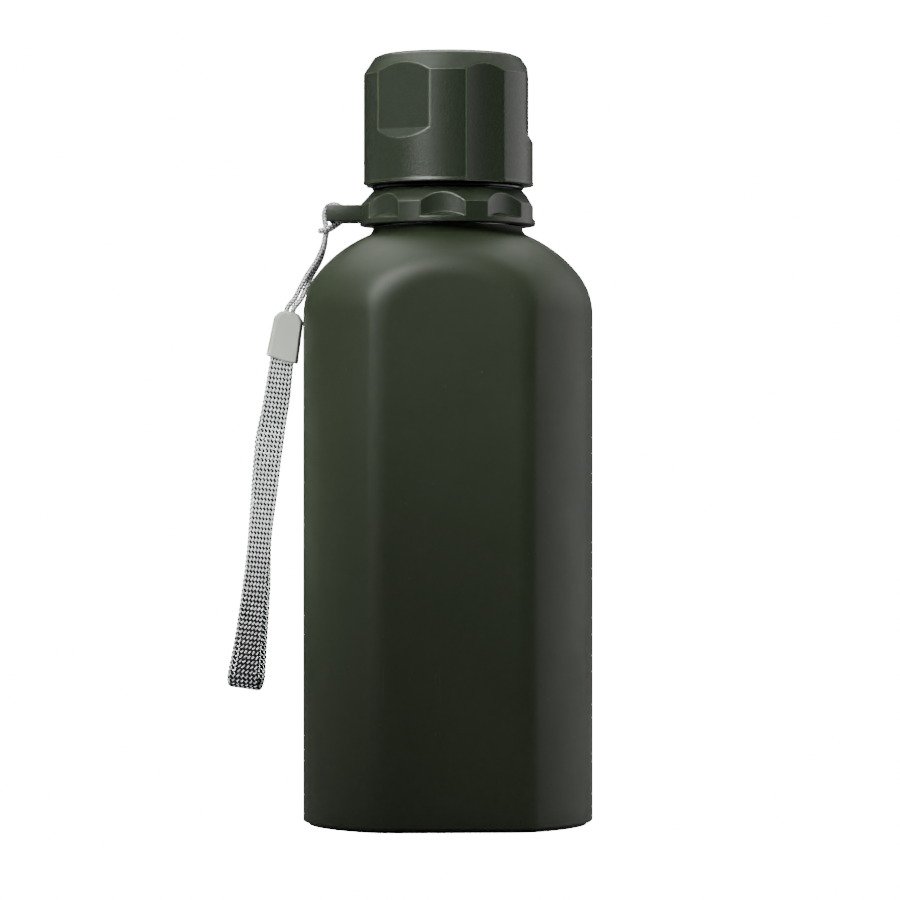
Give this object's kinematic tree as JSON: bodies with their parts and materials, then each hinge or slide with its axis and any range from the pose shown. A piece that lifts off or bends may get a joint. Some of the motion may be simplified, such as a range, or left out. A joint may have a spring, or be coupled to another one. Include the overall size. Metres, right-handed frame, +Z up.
{
  "type": "drinking canteen",
  "caption": "Olive aluminium canteen with soft flats, a scalloped collar with a pouring spout, a faceted screw cap and a braided wrist strap on a lug.",
  "frame": {"origin": "middle of the foot, on the surface that the base pad stands on", "axes": "+Z up along the bottle's axis; -X towards the strap lug; -Y is the front"},
  "size_m": [0.0946, 0.071, 0.1984],
  "materials": {
    "olive_paint": "matt, faintly grained",
    "olive_plastic": "fine moulded grain",
    "black_plastic": "glossy",
    "black_rubber": "matt",
    "natural_plastic": "natural, satin",
    "silicone": "translucent white",
    "cord_braid": "white and black round braid",
    "webbing_weave": "white and black flat braid",
    "grey_plastic": "satin moulded",
    "plated_steel": "bright"
  },
  "bodies": {
    "bottle": {"bottle_shell": "olive_paint", "base_pad": "black_rubber"},
    "neck_seal": {"neck_gasket": "silicone"},
    "collar": {"collar_ring": "olive_plastic", "mouthpiece": "black_plastic"},
    "cap_seal": {"cap_gasket": "silicone"},
    "cap": {"cap_shell": "olive_plastic", "cap_liner": "natural_plastic"},
    "strap": {"strap_cord": "cord_braid", "clip_front": "grey_plastic", "clip_back": "grey_plastic", "crimp": "plated_steel", "webbing": "webbing_weave"}
  },
  "joints": [
    {"name": "collar_lift", "type": "slide", "parent": "bottle", "child": "neck_seal", "axis": [0, 0, 1], "range_m": [0, 0.0106]},
    {"name": "collar_turn", "type": "hinge", "parent": "neck_seal", "child": "collar", "pos_m": [0, 0, 0.158], "axis": [0, 0, 1], "range_deg": [0, 630]},
    {"name": "cap_lift", "type": "slide", "parent": "collar", "child": "cap_seal", "axis": [0, 0, 1], "range_m": [0, 0.0301]},
    {"name": "cap_turn", "type": "hinge", "parent": "cap_seal", "child": "cap", "pos_m": [0, 0, 0.18], "axis": [0, 0, 1], "range_deg": [0, 900]},
    {"name": "strap_swing", "type": "hinge", "parent": "collar", "child": "strap", "pos_m": [-0.02944, 0, 0.1575], "axis": [0, 1, 0], "range_deg": [0, 150]}
  ],
  "couplings": [
    {"joint": "collar_lift", "follows": "collar_turn", "m_per_rad": 0.00095493},
    {"joint": "cap_lift", "follows": "cap_turn", "m_per_rad": 0.0019099}
  ]
}
